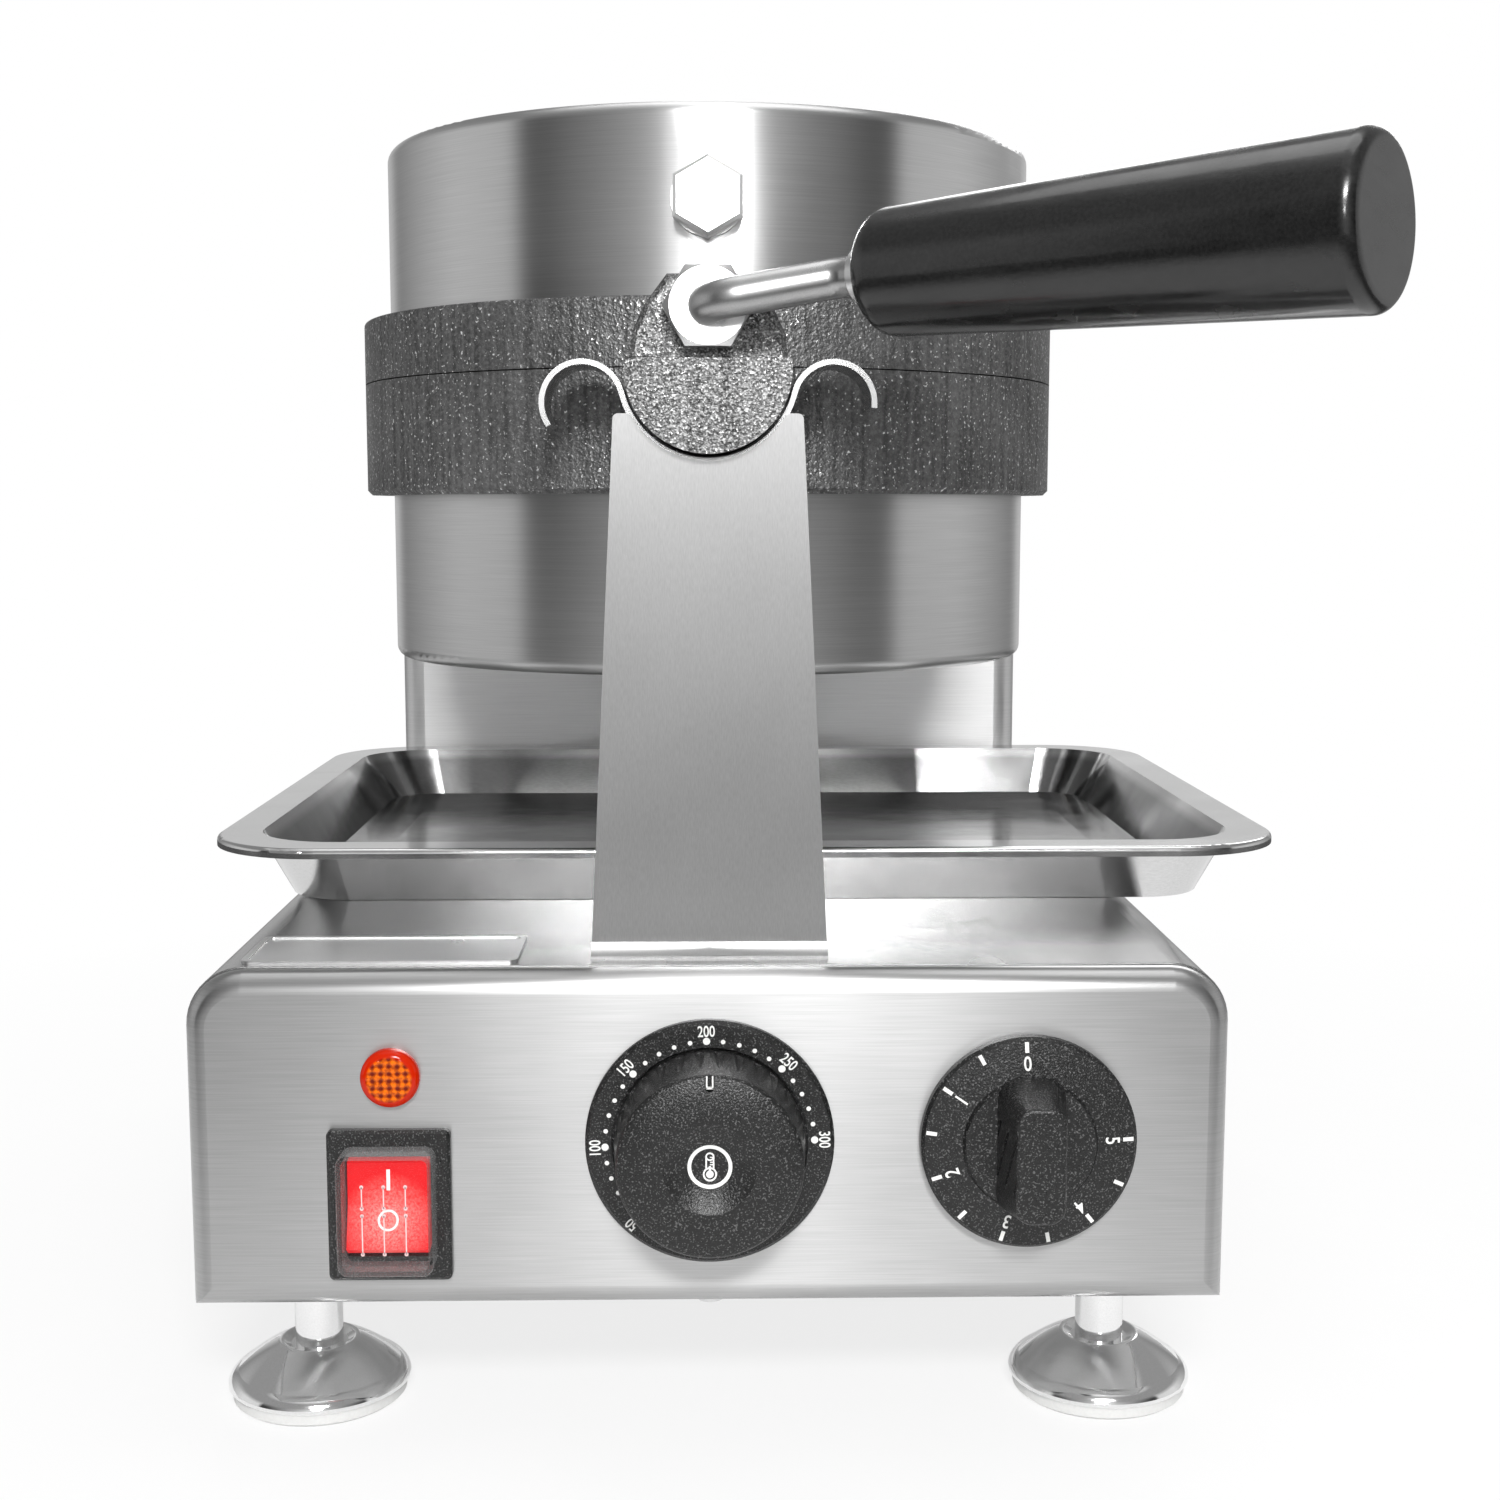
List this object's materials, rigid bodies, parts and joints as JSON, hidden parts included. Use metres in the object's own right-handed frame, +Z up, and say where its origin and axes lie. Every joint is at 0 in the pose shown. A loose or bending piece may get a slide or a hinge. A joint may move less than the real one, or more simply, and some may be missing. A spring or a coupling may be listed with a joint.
{
  "type": "rotary waffle cone maker",
  "caption": "Rotary waffle cone maker: steel base with dial controls, front post and cradle, round hinged head that turns over, side handle and drip tray.",
  "frame": {"origin": "on the counter, under the middle of the whole object's box: below the tray's middle, and 9.7 mm right of the base's centre plane", "axes": "+X to the right seen from the front, +Y to the back, +Z up; the head turns about a line along Y"},
  "size_m": [0.276, 0.4347, 0.3023],
  "materials": {
    "brushed_steel": "brushed stainless sheet",
    "bright_steel": "bright stainless, semi-polished",
    "cast_aluminium": "dark coated cast aluminium",
    "machined_steel": "turned steel",
    "bronze": "turned bronze",
    "insulation": "ceramic-fibre board",
    "black_plastic": "fine-textured black plastic",
    "bakelite": "glossy black thermoset",
    "cream_plastic": "moulded",
    "red_plastic": "translucent red, lit from behind",
    "amber_plastic": "translucent amber lens",
    "clear_plastic": "clear flexible plastic",
    "chrome": "chrome plate",
    "pad_plastic": "pale hard plastic"
  },
  "bodies": {
    "base": {"base_shell": "brushed_steel", "front_panel": "brushed_steel", "bottom_plate": "brushed_steel", "bottom_screws": "bright_steel", "column_shell": "brushed_steel", "back_cover": "brushed_steel", "back_screws": "bright_steel", "badge": "bright_steel", "post": "brushed_steel", "post_bracket": "brushed_steel", "post_screws": "bright_steel", "cradle": "brushed_steel", "bearing_block": "machined_steel", "shaft_bush": "bronze", "stop_bracket": "machined_steel", "thermostat_body": "black_plastic", "thermostat_bezel": "black_plastic", "timer_body": "black_plastic", "switch_housing": "black_plastic", "switch_cover": "clear_plastic", "lamp_lens": "amber_plastic", "lamp_housing": "black_plastic", "terminal_block": "cream_plastic", "cable_gland": "black_plastic"},
    "rotor": {"lower_plate": "cast_aluminium", "lower_heater": "machined_steel", "lower_insulation": "insulation", "lower_drum": "brushed_steel", "lower_bolt": "bright_steel", "rotor_shaft": "machined_steel", "shaft_bolts": "bright_steel", "shaft_collar": "machined_steel", "hinge_pin": "bright_steel", "hinge_clips": "bright_steel", "thermostat_bulb": "bright_steel"},
    "lid": {"upper_plate": "cast_aluminium", "upper_heater": "machined_steel", "upper_insulation": "insulation", "upper_drum": "brushed_steel", "upper_bolt": "bright_steel", "handle_nut": "bright_steel", "handle_rod": "bright_steel", "handle_ferrule": "bright_steel", "grip": "bakelite", "grip_cap": "bakelite"},
    "tray": {"tray": "bright_steel"},
    "thermostat_dial": {"thermostat_knob": "black_plastic", "thermostat_spindle": "bright_steel"},
    "timer_dial": {"timer_knob": "black_plastic", "timer_spindle": "bright_steel"},
    "rocker": {"rocker": "red_plastic"},
    "foot_front_left": {"foot_front_left": "chrome", "foot_pad_front_left": "pad_plastic"},
    "foot_front_right": {"foot_front_right": "chrome", "foot_pad_front_right": "pad_plastic"},
    "foot_rear_left": {"foot_rear_left": "chrome", "foot_pad_rear_left": "pad_plastic"},
    "foot_rear_right": {"foot_rear_right": "chrome", "foot_pad_rear_right": "pad_plastic"}
  },
  "joints": [
    {"name": "rotor_turn", "type": "hinge", "parent": "base", "child": "rotor", "pos_m": [-0.0097, 0, 0.2391], "axis": [0, 1, 0], "range_deg": [-180, 0]},
    {"name": "lid_open", "type": "hinge", "parent": "rotor", "child": "lid", "pos_m": [-0.0097, 0.11, 0.2485], "axis": [-1, 0, 0], "range_deg": [0, 95]},
    {"name": "tray_slide", "type": "slide", "parent": "base", "child": "tray", "axis": [1, 0, 0], "range_m": [0, 0.26]},
    {"name": "thermostat_turn", "type": "hinge", "parent": "base", "child": "thermostat_dial", "pos_m": [-0.0097, -0.1322, 0.0715], "axis": [0, 1, 0], "range_deg": [-135, 90]},
    {"name": "timer_turn", "type": "hinge", "parent": "base", "child": "timer_dial", "pos_m": [0.0601, -0.1322, 0.0715], "axis": [0, 1, 0], "range_deg": [0, 270], "stiffness_Nm_per_rad": 0.004},
    {"name": "rocker_tilt", "type": "hinge", "parent": "base", "child": "rocker", "pos_m": [-0.0799, -0.1322, 0.0576], "axis": [1, 0, 0], "range_deg": [0, 20]},
    {"name": "level_front_left", "type": "slide", "parent": "base", "child": "foot_front_left", "axis": [0, 0, -1], "range_m": [0, 0.006]},
    {"name": "level_front_right", "type": "slide", "parent": "base", "child": "foot_front_right", "axis": [0, 0, -1], "range_m": [0, 0.006]},
    {"name": "level_rear_left", "type": "slide", "parent": "base", "child": "foot_rear_left", "axis": [0, 0, -1], "range_m": [0, 0.006]},
    {"name": "level_rear_right", "type": "slide", "parent": "base", "child": "foot_rear_right", "axis": [0, 0, -1], "range_m": [0, 0.006]}
  ]
}
